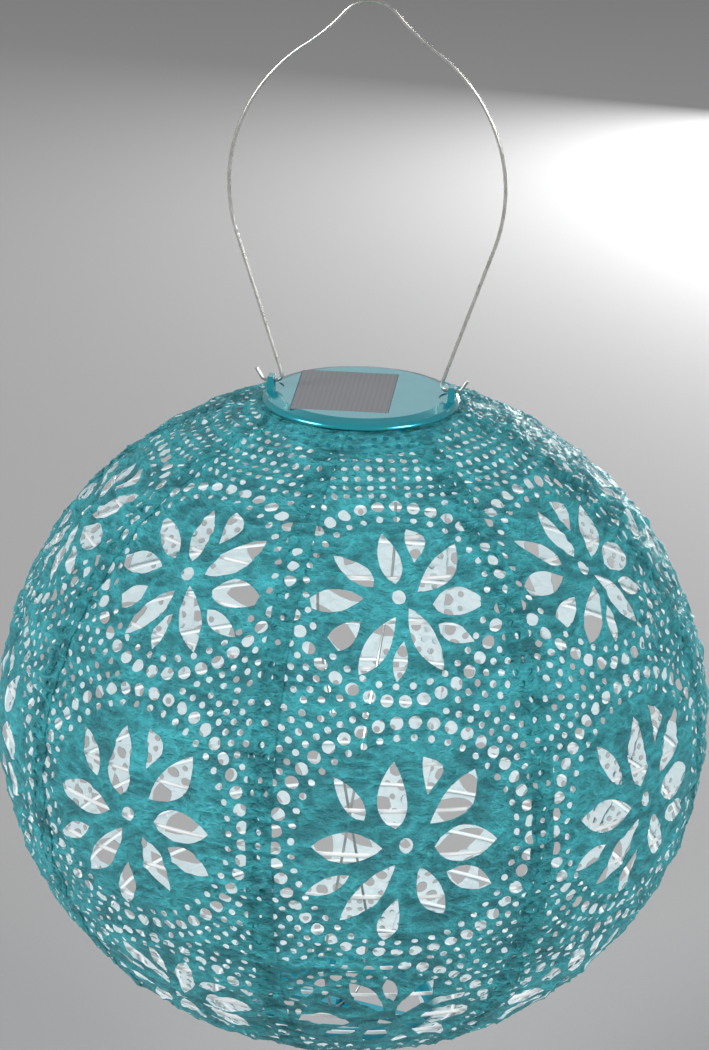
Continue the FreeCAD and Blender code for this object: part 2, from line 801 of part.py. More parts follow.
def gores():
    """Eight equal panels of thin sheet, each a slice of the globe's shell."""
    section = shell_section()
    for number in range(GORES):
        gore = doc.addObject("Part::Revolution", f"gore_slice_{number + 1}")
        gore.Source = section
        gore.Axis = Z_AXIS
        gore.Base = Vector(0, 0, 0)
        gore.Solid = True
        bind(gore, Angle=SIZE["gore_angle"])
        # seams are measured round from the front, -Y, towards +X
        turn = DRIVING["first_seam"] - 90 + number * 360 / GORES
        piece(f"gore_{number + 1}", gore, turn)


bail_handle()
lid()
solar_panel()
seal_ring()
housing()
battery_door()
screws()
battery()
electronics()
leads()
neck_ring()
bottom_ring()
expander_wire()
rib_wire()
gores()
doc.recompute()

for thing in doc.Objects:
    if "Invalid" in thing.State or "Error" in thing.State:
        raise RuntimeError(f"{thing.Label} did not recompute: {thing.State}")
os.makedirs("parts", exist_ok=True)
for thing in PIECES:
    if thing.Shape.isNull() or not thing.Shape.isValid():
        raise RuntimeError(f"{thing.Label} has no sound shape")
    print(f"{thing.Label}: {len(thing.Shape.Solids)} solids, {thing.Shape.Volume:.1f} mm3")
for thing in PIECES:
    thing.Shape.exportStep(f"parts/{thing.Label}.step")
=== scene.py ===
"""Hanging solar lantern: the cut-out sheet globe, its spiral rib and its finishes.

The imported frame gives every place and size. The globe is cut flat, gore by gore, as the real sheet
is, and then laid round the ribs, crinkled and glued over its neighbour.
"""

import json
import math

import bmesh
import bpy
import numpy as np
from mathutils import Matrix, Vector, geometry, noise


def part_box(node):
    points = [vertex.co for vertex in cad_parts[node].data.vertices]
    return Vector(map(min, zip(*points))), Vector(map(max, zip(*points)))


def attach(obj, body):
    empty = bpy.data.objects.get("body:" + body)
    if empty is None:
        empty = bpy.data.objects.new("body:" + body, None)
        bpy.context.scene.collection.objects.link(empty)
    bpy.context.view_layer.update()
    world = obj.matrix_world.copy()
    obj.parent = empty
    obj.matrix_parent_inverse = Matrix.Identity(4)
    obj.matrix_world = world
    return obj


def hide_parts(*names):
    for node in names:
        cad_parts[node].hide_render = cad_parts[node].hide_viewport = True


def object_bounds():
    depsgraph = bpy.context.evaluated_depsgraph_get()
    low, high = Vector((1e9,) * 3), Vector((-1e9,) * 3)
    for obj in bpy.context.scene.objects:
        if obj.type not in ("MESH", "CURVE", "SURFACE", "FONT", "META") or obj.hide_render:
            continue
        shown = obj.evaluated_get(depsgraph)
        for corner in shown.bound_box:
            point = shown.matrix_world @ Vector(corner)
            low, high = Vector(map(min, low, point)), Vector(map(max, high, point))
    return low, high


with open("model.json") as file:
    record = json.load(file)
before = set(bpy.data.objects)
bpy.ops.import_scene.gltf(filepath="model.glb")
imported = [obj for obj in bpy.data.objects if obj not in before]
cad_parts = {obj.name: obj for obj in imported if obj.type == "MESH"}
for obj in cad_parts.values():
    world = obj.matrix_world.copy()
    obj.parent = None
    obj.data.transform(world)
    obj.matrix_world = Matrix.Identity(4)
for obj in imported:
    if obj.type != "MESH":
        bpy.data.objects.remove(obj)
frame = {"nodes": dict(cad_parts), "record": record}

CAD_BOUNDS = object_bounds()

bl_info = {
    "name": "Solar Lantern",
    "version": (1, 0, 0),
    "blender": (4, 5, 0),
    "location": "View3D > Sidebar > Lantern",
    "description": "Makes the shell, ribs and finishes of a hanging solar lantern",
    "category": "Add Mesh",
}

MM = 0.001
GORES = 8
GORE_TURN = math.radians(360 / GORES)
EDGE_ANGLE = math.radians(75.25)  # of the neck and the foot, from the equator
FRONT_TURN = math.radians(15.4)  # of the middle of the gore that faces the front
RIB_STEPS = 72  # points in one turn of the rib
FAN_COLUMNS = 8  # of small dots on each side of a gore's middle, at the neck and the foot
OUTER_ROWS = 12  # of small dots outside a flower's ring, as far as there is room
DRAW_SEED = 8  # of the sheet's random draws
SHARP_ANGLE = math.radians(62)  # between faces that meet in a crisp edge

# How many times in a metre the creases in the sheet's shape come back.
BEND_SCALE = 60
LARGE_CREASE_SCALE = 75
SMALL_CREASE_SCALE = 190
SOFT_SCALE = 22
PUCKER_SCALE = 330
PULL_SCALE = 24
SEAM_WIDTH = 0.0075  # how far from a seam its puckers die away, in metres

# Leaf-shaped cut-outs of the two flowers, in millimetres from the flower's centre:
# the inner end, the outer end, how far the left and the right side stand off the line between
# them, and how far along that line they are widest.
MIDDLE_FLOWER = [
    ((-4.5, 7.0), (-4.5, 36.5), 7.3, 4.8, 0.40),
    ((8.5, 21.5), (7.0, 38.0), 0.8, 7.4, 0.62),
    ((9.5, 9.0), (28.5, 31.0), 3.8, 8.8, 0.52),
    ((12.0, -1.0), (38.5, 0.0), 8.0, 7.3, 0.45),
    ((18.0, -12.0), (38.0, -19.5), 5.2, 4.8, 0.48),
    ((6.5, -9.0), (18.5, -32.5), 4.8, 5.6, 0.52),
    ((-1.5, -22.0), (-6.0, -44.0), 4.0, 5.2, 0.60),
    ((-4.0, -7.5), (-25.5, -34.0), 5.7, 4.5, 0.52),
    ((-23.0, -13.0), (-41.0, -22.0), 3.7, 3.3, 0.48),
    ((-10.0, -1.0), (-39.5, 0.5), 6.9, 6.7, 0.52),
    ((-17.5, 11.5), (-29.5, 30.0), 3.8, 4.6, 0.42),
]
UPPER_FLOWER = [
    ((-1.5, 5.5), (-4.0, 29.5), 5.0, 4.4, 0.45),
    ((7.0, 15.5), (6.5, 31.5), 1.8, 6.8, 0.60),
    ((7.5, 2.0), (26.0, 22.5), 4.0, 7.6, 0.52),
    ((14.0, -3.5), (37.0, -5.5), 7.3, 5.6, 0.42),
    ((16.0, -12.5), (31.5, -21.5), 3.0, 4.2, 0.42),
    ((4.0, -4.5), (16.5, -31.5), 4.7, 5.0, 0.52),
    ((1.5, -18.0), (-3.0, -34.5), 2.9, 3.1, 0.52),
    ((-1.5, -8.5), (-18.5, -31.5), 5.0, 4.6, 0.52),
    ((-16.0, -10.5), (-32.0, -22.5), 4.6, 4.0, 0.50),
    ((-14.5, -0.5), (-38.5, -4.5), 4.6, 6.0, 0.52),
    ((-10.5, 4.5), (-25.5, 19.5), 4.6, 4.6, 0.42),
]


# ---- settings ----------------------------------------------------------------------------------


def length(name, description, default):
    """A length that shows in the scene's own units."""
    return bpy.props.FloatProperty(
        name=name, description=description, default=default, unit="LENGTH", precision=5
    )


def colour(name, description, default):
    """A linear colour."""
    return bpy.props.FloatVectorProperty(
        name=name, description=description, default=default, size=3, subtype="COLOR"
    )


def number(name, description, default):
    """A plain number."""
    return bpy.props.FloatProperty(name=name, description=description, default=default)


class LanternCutOuts(bpy.types.PropertyGroup):
    """The pattern that is punched through each gore."""

    flower_gap: length("Flower gap", "From one flower's centre to the next, on the flat", 0.103)
    middle_ring: length("Middle ring", "Radius of the ring of large dots at the equator", 0.0518)
    outer_ring: length("Outer ring", "Radius of the rings above and below it", 0.0427)
    ring_stretch: number("Ring stretch", "How much wider than tall a ring is", 1.035)
    ring_step: length("Ring step", "From one large dot to the next", 0.0072)
    inner_ring_gap: length("Inner ring gap", "From the large dots in to the small ones", 0.0060)
    large_dot: length("Large dot", "Radius of a large dot", 0.0027)
    small_dot: length("Small dot", "Radius of a small dot", 0.00145)
    eye_dot: length("Eye", "Radius of the hole in a flower's centre", 0.0030)
    dot_step: length("Dot step", "From one small dot to the next", 0.0054)
    row_step: length("Row step", "From one row of small dots to the next", 0.0051)
    bridge: length("Bridge", "The least sheet left between two holes", 0.0016)
    fan_foot: length("Fan foot", "Where the rows at the neck and the foot begin", 0.1255)


class LanternSheet(bpy.types.PropertyGroup):
    """The sheet itself and how it creases."""

    thickness: length("Thickness", "Of the sheet", 0.00026)
    mesh_step: length("Mesh step", "Between the points of the sheet's mesh", 0.00125)
    lap: length("Lap", "How far a gore reaches past the middle of its seam", 0.0052)
    lap_rise: length("Lap rise", "Of the upper layer over the lower one", 0.00042)
    sag: length("Sag", "Of the sheet between two turns of the rib", 0.0009)
    pucker: length("Pucker", "Depth of the folds along a glued seam", 0.0006)
    crease: length("Crease", "Depth of the large creases", 0.00105)
    crinkle: length("Crinkle", "Depth of the small creases", 0.0009)
    drift: length("Drift", "How far the cut-outs are pulled out of place", 0.0011)
    outside: colour("Outside", "Printed colour of the outside", (0.034, 0.325, 0.365))
    # Painted shade: the colour the outside takes where the sheet lies below its raised creases,
    # darker than the print.
    crease_shade: colour("Folds", "Colour of the print down in the creases", (0.014, 0.180, 0.212))
    glow: colour("Glow", "Colour of the light that comes through", (0.24, 0.78, 0.84))
    inside: colour("Inside", "Colour of the bare inside", (0.80, 0.855, 0.87))


class LanternWires(bpy.types.PropertyGroup):
    """The spiral rib inside the sheet."""

    rib_radius: length("Rib radius", "Half the thickness of the coated rib wire", 0.00082)
    rib_inset: length("Rib inset", "From the sheet's surface in to the rib", 0.00165)
    rib_pitch: length("Rib pitch", "Between two turns, along the sheet", 0.0195)
    rib_start: length("Rib start", "Height of a turn above the equator at the front gore", 0.0150)
    rib_reach: length("Rib reach", "From the equator to the rib's ends, along the sheet", 0.186)


class LanternStage(bpy.types.PropertyGroup):
    """The floor, the lights and the camera."""

    floor_drop: length("Floor drop", "From the lantern's foot down to the floor", 0.11)
    floor_colour: colour("Floor", "Colour of the floor", (0.46, 0.46, 0.465))
    key_power: number("Key power", "Of the lamp on the left, in watts", 46.0)
    fill_power: number("Fill power", "Of the lamp on the right, in watts", 36.0)
    back_power: number("Back power", "Of the lamp behind, in watts", 14.0)
    inner_power: number("Inner power", "Of the small lamp in the globe, in watts", 0.5)
    sheen_power: number("Sheen power", "Of the lamp that the lid reflects, in watts", 1.8)
    sky: number("Sky", "Strength of the even light all round", 0.30)
    distance: length("Distance", "From the globe's centre to the camera", 2.16265)
    azimuth: number("Azimuth", "Of the camera round the lantern, in degrees", 6.833)
    elevation: number("Elevation", "Of the camera above the globe's centre, in degrees", 21.47)
    aim_height: length("Aim height", "Of the point aimed at, above the globe's centre", 0.08456)
    aim_side: length("Aim side", "Of the point aimed at, beside the lantern's axis", -0.0014)
    roll: number("Roll", "Of the camera about its view, in degrees", 1.52)
    lens: number("Lens", "Focal length in millimetres", 171.43)


# ---- the globe's shape -------------------------------------------------------------------------


class Globe:
    """The slightly flattened ball that the sheet is laid on, measured along its meridians."""

    def __init__(self):
        boxes = [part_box(f"gore_{n}") for n in range(1, GORES + 1)]
        low, high = boxes[0]
        self.centre = (low[2] + high[2]) / 2
        self.across = max(box[1][0] for box in boxes)
        self.along = (high[2] - low[2]) / 2 / math.sin(EDGE_ANGLE)
        angles = np.linspace(-math.pi / 2, math.pi / 2, 1441)
        middle = (angles[1:] + angles[:-1]) / 2
        steps = np.hypot(self.across * np.sin(middle), self.along * np.cos(middle))
        run = np.concatenate([[0], np.cumsum(steps * np.diff(angles))])
        self.angles = angles
        self.runs = run - run[-1] / 2
        self.edge_run = float(np.interp(EDGE_ANGLE, self.angles, self.runs))
        seam_x, seam_y = first_seam_point()
        self.first_seam = math.atan2(seam_x, -seam_y)

    def angle(self, run):
        """The angle from the equator at a distance along the meridian."""
        return np.interp(run, self.runs, self.angles)

    def radius(self, run):
        """How far the surface is from the axis there."""
        return self.across * np.cos(self.angle(run))

    def half_gore(self, run):
        """Half the width of a gore there, without its laps."""
        return self.radius(run) * GORE_TURN / 2

    def points(self, turn, run, rise):
        """Points on the surface, raised by rise along the normal. turn is measured from -Y
        towards +X."""
        angle = self.angle(run)
        flat, up = self.along * np.cos(angle), self.across * np.sin(angle)
        size = np.hypot(flat, up)
        out = self.across * np.cos(angle) + rise * flat / size
        height = self.along * np.sin(angle) + rise * up / size
        return np.stack([out * np.sin(turn), -out * np.cos(turn), self.centre + height], axis=-1)


def first_seam_point():
    """Where the first gore's first edge meets the equator."""
    mesh = frame["nodes"]["gore_1"].data
    low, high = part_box("gore_1")
    middle = (low[2] + high[2]) / 2
    near = [v.co for v in mesh.vertices if abs(v.co.z - middle) < 0.02]
    turns = [(math.atan2(p.x, -p.y), p) for p in near]
    return min(turns, key=lambda item: item[0])[1][:2]


# ---- the flat cut ------------------------------------------------------------------------------


def leaf(inner, outer, left, right, belly, flip=1):
    """The outline of one leaf-shaped cut-out, anticlockwise, in metres."""
    start = Vector((inner[0], inner[1] * flip)) * MM
    end = Vector((outer[0], outer[1] * flip)) * MM
    along = end - start
    aside = Vector((-along.y, along.x)).normalized() * flip
    power = math.log(0.5) / math.log(belly)
    steps = max(6, round(along.length / (2.4 * MM)))
    sides = []
    for width in (-right * MM, left * MM):
        side = []
        for step in range(1, steps):
            place = step / steps
            bulge = math.sin(math.pi * place**power) ** 0.8
            side.append(start + along * place + aside * width * bulge)
        sides.append(side)
    outline = [start, *sides[0], end, *reversed(sides[1])]
    return outline if flip > 0 else outline[::-1]


def dot(middle, radius, seed):
    """The outline of a round hole, a little out of true, in metres."""
    corners = 16 if radius > 2 * MM else 11
    stretch = 1 + 0.10 * noise.noise(Vector((seed * 0.71, 3.3, 0.2)))
    lean = seed * 1.9
    outline = []
    for corner in range(corners):
        angle = 2 * math.pi * corner / corners
        reach = radius * (1 + (stretch - 1) * math.cos(2 * (angle - lean)))
        outline.append(middle + Vector((math.cos(angle), math.sin(angle))) * reach)
    return outline


class FlatGore:
    """One gore as it is cut: its outline and its holes, in metres, across and along."""

    def __init__(self, globe, cut, sheet):
        self.globe, self.cut, self.sheet = globe, cut, sheet
        self.rounds = []  # (middle, radius) of each round hole
        self.leaves = []
        gap = cut.flower_gap
        flowers = [(0.0, MIDDLE_FLOWER, 1), (gap, UPPER_FLOWER, 1), (-gap, UPPER_FLOWER, -1)]
        for height, petals, flip in flowers:
            for petal in petals:
                outline = leaf(*petal, flip)
                self.leaves.append([point + Vector((0, height)) for point in outline])
        for height, petals, flip in flowers:
            self.add_round(Vector((0, height)), cut.eye_dot)
        rings = [(0.0, cut.middle_ring), (gap, cut.outer_ring), (-gap, cut.outer_ring)]
        for height, radius in rings:
            self.add_ring(height, radius, cut.ring_step, cut.large_dot, 0.5)
        for height, radius in rings:
            inner = radius - cut.inner_ring_gap
            self.add_ring(height, inner, cut.ring_step * 0.93, cut.small_dot, 0.5)
        for row in range(OUTER_ROWS):
            for height, radius in rings:
                outer = radius + cut.large_dot + cut.bridge + cut.small_dot + row * cut.row_step
                self.add_ring(height, outer, cut.dot_step, cut.small_dot, 0.5 * (row % 2))
        self.add_fan(1)
        self.add_fan(-1)

    def clear(self, middle, radius):
        """True if a round hole there leaves enough sheet around it."""
        if abs(middle.y) > self.globe.edge_run - radius - 2 * MM:
            return False
        side = float(self.globe.half_gore(middle.y)) + self.sheet.lap
        if abs(middle.x) > side - radius - 1.1 * MM:
            return False
        for other, size in self.rounds:
            if (other - middle).length < size + radius + self.cut.bridge:
                return False
        return True

    def add_round(self, middle, radius):
        if self.clear(middle, radius):
            self.rounds.append((middle, radius))

    def inside_a_ring(self, middle, own_height):
        """True if a point lies within another flower's ring of large dots."""
        gap, stretch = self.cut.flower_gap, self.cut.ring_stretch
        for height in (0.0, gap, -gap):
            if height == own_height:
                continue
            limit = self.cut.outer_ring if height else self.cut.middle_ring
            if math.hypot(middle.x / stretch, middle.y - height) < limit + 3.4 * MM:
                return True
        return False

    def add_ring(self, height, radius, step, hole, phase):
        """Round holes evenly spaced on a ring about a flower."""
        count = round(2 * math.pi * radius / step)
        for place in range(count):
            angle = math.pi / 2 + 2 * math.pi * (place + phase) / count
            across = radius * self.cut.ring_stretch * math.cos(angle)
            middle = Vector((across, height + radius * math.sin(angle)))
            in_fan = abs(middle.y) > self.cut.fan_foot and hole < self.cut.large_dot
            beyond = radius > self.cut.middle_ring or height and radius > self.cut.outer_ring
            if beyond and (in_fan or self.inside_a_ring(middle, height)):
                continue
            self.add_round(middle, hole)

    def add_fan(self, side):
        """Straight rows of small holes towards the neck or the foot."""
        cut = self.cut
        rows = int((self.globe.edge_run - cut.fan_foot) / cut.row_step) + 1
        for row in range(rows):
            run = cut.fan_foot + row * cut.row_step
            for column in range(-FAN_COLUMNS, FAN_COLUMNS + 1):
                middle = Vector((-0.001 + column * cut.row_step, run))
                if self.inside_a_ring(middle, 0.0):
                    continue
                self.add_round(Vector((middle.x, middle.y * side)), cut.small_dot * 0.97)

    def outline(self):
        """The gore's edge, anticlockwise."""
        steps = round(2 * self.globe.edge_run / (2.6 * MM))
        runs = np.linspace(-self.globe.edge_run, self.globe.edge_run, steps + 1)
        widths = self.globe.half_gore(runs) + self.sheet.lap
        right = [Vector((width, run)) for width, run in zip(widths, runs)]
        left = [Vector((-width, run)) for width, run in zip(widths, runs)]
        return right + left[::-1]

    def filling(self):
        """Evenly spread points that keep clear of every edge."""
        step = self.sheet.mesh_step
        reach, wide = self.globe.edge_run, float(self.globe.half_gore(0)) + self.sheet.lap
        rows = np.arange(-reach, reach, step * math.sqrt(3) / 2)
        columns = np.arange(-wide, wide, step)
        across, along = np.meshgrid(columns, rows)
        across[::2] += step / 2
        points = np.stack([across.ravel(), along.ravel()], axis=1)
        shift = np.random.default_rng(DRAW_SEED).uniform(-0.18, 0.18, points.shape) * step
        points += shift
        sides = self.globe.half_gore(points[:, 1]) + self.sheet.lap
        keep = (np.abs(points[:, 0]) < sides - 0.5 * step) & (
            np.abs(points[:, 1]) < reach - 0.5 * step
        )
        points = points[keep]
        for middle, radius in self.rounds:
            away = np.hypot(points[:, 0] - middle.x, points[:, 1] - middle.y)
            points = points[away > radius * 1.1 + 0.45 * step]
        for outline in self.leaves:
            points = points[away_from(points, np.array(outline), 0.5 * step)]
        return points

    def mesh_parts(self):
        """The flat mesh: its points and its triangles, with the holes left open."""
        loops = [self.outline(), *self.leaves]
        loops += [dot(*hole, seed) for seed, hole in enumerate(self.rounds)]
        points, edges, owners = [], [], []
        for owner, loop in enumerate(loops):
            first = len(points)
            points += loop
            owners += [owner] * len(loop)
            edges += [(first + i, first + (i + 1) % len(loop)) for i in range(len(loop))]
        filling = [Vector(point) for point in self.filling()]
        points += filling
        owners += [0] * len(filling)
        found = geometry.delaunay_2d_cdt(points, edges, [], 1, 1e-7)
        flat = np.array([point[:] for point in found[0]])
        owners = np.array([owners[origin[0]] if origin else 0 for origin in found[3]])
        triangles = np.array(found[2])
        owned = owners[triangles]
        shared = (owned[:, 0] > 0) & (owned == owned[:, :1]).all(axis=1)
        keep = ~shared
        middles = flat[triangles].mean(axis=1)
        for index in np.nonzero(shared)[0]:
            loop = np.array(loops[owned[index, 0]])
            keep[index] = away_from(middles[index : index + 1], loop, 0)[0]
        return flat, triangles[keep].tolist()


def away_from(points, outline, margin):
    """Which points are outside a closed outline by at least a margin."""
    starts, ends = outline, np.roll(outline, -1, axis=0)
    keep = np.ones(len(points), bool)
    low, high = outline.min(axis=0) - margin, outline.max(axis=0) + margin
    near = np.nonzero(((points > low) & (points < high)).all(axis=1))[0]
    inside = np.zeros(len(near), bool)
    nearest = np.full(len(near), np.inf)
    here = points[near]
    for a, b in zip(starts, ends):
        along = b - a
        place = np.clip(((here - a) @ along) / (along @ along), 0, 1)
        gap = here - a - place[:, None] * along
        nearest = np.minimum(nearest, np.hypot(gap[:, 0], gap[:, 1]))
        crosses = (a[1] > here[:, 1]) != (b[1] > here[:, 1])
        with np.errstate(divide="ignore", invalid="ignore"):
            at = a[0] + (here[:, 1] - a[1]) / (b[1] - a[1]) * (b[0] - a[0])
        inside ^= crosses & (here[:, 0] < at)
    keep[near] = ~inside & (nearest >= margin)
    return keep


# ---- the creases -------------------------------------------------------------------------------


def ridge(place):
    """Sharp creases: 1 on a crease line and falling away on both sides."""
    return 1 - min(1.0, abs(noise.noise(place)) * 2.6)


def creases(globe, sheet, turn, run):
    """How far the creases and the seams' puckers stand off the even shape, in metres."""
    radius = globe.radius(run)
    spots = np.stack([radius * np.sin(turn), -radius * np.cos(turn), run], axis=1)
    seam = np.abs((turn - globe.first_seam + GORE_TURN / 2) % GORE_TURN - GORE_TURN / 2) * radius
    near_seam = np.exp(-((seam / SEAM_WIDTH) ** 2))
    rise, folds = np.empty(len(run)), np.empty(len(run))
    for index, (x, y, s) in enumerate(spots.tolist()):
        flat = Vector((x * 0.55, y * 0.55, s))
        bend = noise.noise_vector(flat * BEND_SCALE) * 0.35
        large = ridge(flat * LARGE_CREASE_SCALE + bend)
        small = ridge(flat * SMALL_CREASE_SCALE + bend * 2.2)
        soft = noise.noise(flat * SOFT_SCALE)
        tight = ridge(Vector((x * 0.35, y * 0.35, s)) * PUCKER_SCALE + bend)
        value = sheet.crease * (large**2 * (0.75 + soft)) + sheet.crinkle * small**2
        folds[index] = value
        rise[index] = value + sheet.pucker * near_seam[index] * (tight - 0.7)
    return rise, folds


def scallops(sheet, wires, turn, run):
    """The sheet's sag between two turns of the rib."""
    phase = (run - rib_run(wires, turn)) / wires.rib_pitch
    return -sheet.sag * np.sin(math.pi * phase) ** 2


def rib_run(wires, turn):
    """Where the rib's turn nearest the equator runs, for each angle round the globe."""
    return wires.rib_start - wires.rib_pitch * (turn - FRONT_TURN) / (2 * math.pi)


def pulled(globe, sheet, turn, run):
    """The cut-outs pulled a little out of place: new angles and distances."""
    radius = globe.radius(run)
    spots = np.stack([radius * np.sin(turn), -radius * np.cos(turn), run], axis=1)
    pull = np.array([noise.noise_vector(Vector(p) * PULL_SCALE)[:] for p in spots.tolist()])
    edge = np.clip((globe.edge_run - np.abs(run)) / 0.02, 0, 1) * sheet.drift * 1.6
    return turn + pull[:, 0] * edge / radius, run + pull[:, 1] * edge


# ---- finishes ----------------------------------------------------------------------------------


class Finish:
    """A material that is put together node by node."""

    def __init__(self, name):
        self.material = bpy.data.materials.new(name)
        self.material.use_nodes = True
        self.tree = self.material.node_tree
        self.shader = self.tree.nodes["Principled BSDF"]
        self.output = self.tree.nodes["Material Output"]

    def node(self, kind, settings=None, **inputs):
        """A node with its settings, whose inputs are values or other nodes' outputs."""
        made = self.tree.nodes.new(kind)
        for key, value in (settings or {}).items():
            setattr(made, key, value)
        self.feed(made, inputs)
        return made

    def feed(self, made, inputs):
        for key, value in inputs.items():
            socket = made.inputs[key.replace("_", " ")]
            if isinstance(value, bpy.types.NodeSocket):
                self.tree.links.new(value, socket)
            else:
                socket.default_value = value

    def coordinates(self, scale=(1, 1, 1), kind="Object"):
        """Object or UV coordinates, stretched."""
        source = self.node("ShaderNodeTexCoord").outputs[kind]
        mapping = self.node("ShaderNodeMapping", Vector=source)
        mapping.inputs["Scale"].default_value = scale
        return mapping.outputs["Vector"]

    def noise(self, place, scale, detail=3.0, rough=0.55, kind="FBM"):
        made = self.node("ShaderNodeTexNoise", {"noise_type": kind, "normalize": kind == "FBM"})
        self.feed(made, {"Vector": place, "Scale": scale, "Detail": detail, "Roughness": rough})
        if kind == "RIDGED_MULTIFRACTAL":
            self.feed(made, {"Offset": 1.0, "Gain": 1.6})
        return made.outputs["Fac"]

    def cells(self, place, feature, scale):
        """Uneven cells, like the facets between creases."""
        made = self.node("ShaderNodeTexVoronoi", {"feature": feature}, Vector=place)
        self.feed(made, {"Scale": scale, "Randomness": 1.0})
        return made

    def ramp(self, value, *stops):
        """A colour ramp: each stop is a place and a linear colour."""
        made = self.node("ShaderNodeValToRGB", Fac=value)
        elements = made.color_ramp.elements
        while len(elements) < len(stops):
            elements.new(0.5)
        for element, (place, shade) in zip(elements, stops):
            element.position = place
            element.color = (*shade, 1)
        return made.outputs["Color"]

    def span(self, value, low, high, start=0.0, end=1.0):
        """A value that runs from start to end, laid over another range."""
        made = self.node("ShaderNodeMapRange", Value=value)
        self.feed(made, {"From Min": start, "From Max": end, "To Min": low, "To Max": high})
        return made.outputs["Result"]

    def times(self, first, second):
        """One colour multiplied by another."""
        made = self.node("ShaderNodeMix", {"data_type": "RGBA", "blend_type": "MULTIPLY"})
        made.inputs["Factor"].default_value = 1.0
        self.tree.links.new(first, made.inputs["A"])
        self.tree.links.new(second, made.inputs["B"])
        return made.outputs["Result"]

    def bump(self, height, depth, under=None):
        """A bump whose full height is depth metres."""
        made = self.node("ShaderNodeBump", Height=height, Distance=depth, Strength=1.0)
        if under is not None:
            self.tree.links.new(under, made.inputs["Normal"])
        return made.outputs["Normal"]

    def set(self, **inputs):
        """Inputs of the main shader."""
        self.feed(self.shader, inputs)


def shade(base, factor):
    """A colour made lighter or darker."""
    return tuple(min(1.0, part * factor) for part in base)


def sheet_finish(name, sheet, outside):
    """Crinkled spun-bonded sheet, printed outside and bare inside, that lets some light through. On
    the outside, painted shade and painted highlights follow its creases and facets.
    """
    finish = Finish(name)
    flat = finish.coordinates((0.6, 1, 1), "UV")
    warp = finish.node("ShaderNodeTexNoise", {"noise_dimensions": "3D"}, Vector=flat)
    finish.feed(warp, {"Scale": 150.0, "Detail": 2.0})
    bent = finish.node("ShaderNodeVectorMath", {"operation": "MULTIPLY_ADD"})
    bent.inputs[1].default_value = (0.006,) * 3
    finish.tree.links.new(warp.outputs["Color"], bent.inputs[0])
    finish.tree.links.new(flat, bent.inputs[2])
    facets = finish.cells(bent.outputs[0], "F1", 125.0)
    edges = finish.cells(bent.outputs[0], "DISTANCE_TO_EDGE", 125.0)
    creased = finish.noise(flat, 300, 4, 0.6, "RIDGED_MULTIFRACTAL")
    crinkled = finish.noise(flat, 820, 2, 0.6, "RIDGED_MULTIFRACTAL")
    fibres = finish.noise(flat, 1500, 3, 0.7)
    patches = finish.noise(flat, 26, 4, 0.6)
    depth = finish.node("ShaderNodeAttribute", {"attribute_name": "crease_shade"}).outputs["Fac"]
    if outside:
        # Painted shade and painted highlight: darkened to the crease-shade colour where the sheet
        # lies low, a quarter lighter on the raised creases.
        hollow_shade_ridge_light = finish.ramp(
            depth, (0.0, sheet.crease_shade), (0.35, sheet.outside), (1.0, shade(sheet.outside, 1.25))
        )
        worn = finish.ramp(patches, (0.35, (0.88,) * 3), (0.68, (1.07, 1.05, 1.04)))
        # Painted highlight and shade: the crease noise's ridges made up to a third lighter, the rest
        # a fifth darker.
        crest_highlight = finish.ramp(
            finish.span(creased, 0, 1, 0.5, 1.8), (0.2, (0.80, 0.86, 0.88)), (0.9, (1.35,) * 3)
        )
        tone, edge = facets.outputs["Color"], edges.outputs["Distance"]
        # Painted light and shade: each facet between creases made lighter than or darker than the
        # print, as facets tilted to the lamps look.
        facet_light_and_shade = finish.ramp(tone, (0.1, (0.80, 0.84, 0.85)), (0.9, (1.18,) * 3))
        # Painted highlight: the facet edges, where the creases run, made nearly half as bright again
        # and warmer.
        lines = finish.ramp(edge, (0.0, (1.45, 1.24, 1.22)), (0.06, (1.0,) * 3))
        tint = finish.times(finish.times(hollow_shade_ridge_light, worn), crest_highlight)
        tint = finish.times(finish.times(tint, facet_light_and_shade), lines)
        glow_tint = sheet.glow
        through = 0.22
    else:
        tint = finish.ramp(patches, (0.3, shade(sheet.inside, 0.95)), (0.7, sheet.inside))
        glow_tint = sheet.inside
        through = 0.30
    relief = 1.0 if outside else 0.2
    normal = finish.bump(facets.outputs["Distance"], 0.0026 * relief)
    normal = finish.bump(creased, 0.0007 * relief, normal)
    normal = finish.bump(crinkled, 0.00014 * relief, normal)
    finish.set(Base_Color=tint, Roughness=finish.span(fibres, 0.28, 0.46), Normal=normal)
    finish.set(Specular_IOR_Level=0.5)
    glow = finish.node("ShaderNodeBsdfTranslucent", Color=(*glow_tint, 1.0), Normal=normal)
    both = finish.node("ShaderNodeMixShader")
    both.inputs["Fac"].default_value = through
    finish.tree.links.new(finish.shader.outputs["BSDF"], both.inputs[1])
    finish.tree.links.new(glow.outputs["BSDF"], both.inputs[2])
    finish.tree.links.new(both.outputs["Shader"], finish.output.inputs["Surface"])
    return finish.material


def steel_finish(name, base, rough, streak):
    """Drawn steel wire: fine streaks and a little dulling."""
    finish = Finish(name)
    place = finish.coordinates()
    dull = finish.noise(place, streak, 4, 0.6)
    marks = finish.noise(place, streak * 9, 3, 0.6)
    tint = finish.ramp(dull, (0.3, shade(base, 0.8)), (0.7, shade(base, 1.12)))
    normal = finish.bump(marks, 0.00002)
    finish.set(Base_Color=tint, Metallic=1.0, Normal=normal)
    finish.set(Roughness=finish.span(dull, rough - 0.06, rough + 0.08))
    return finish.material


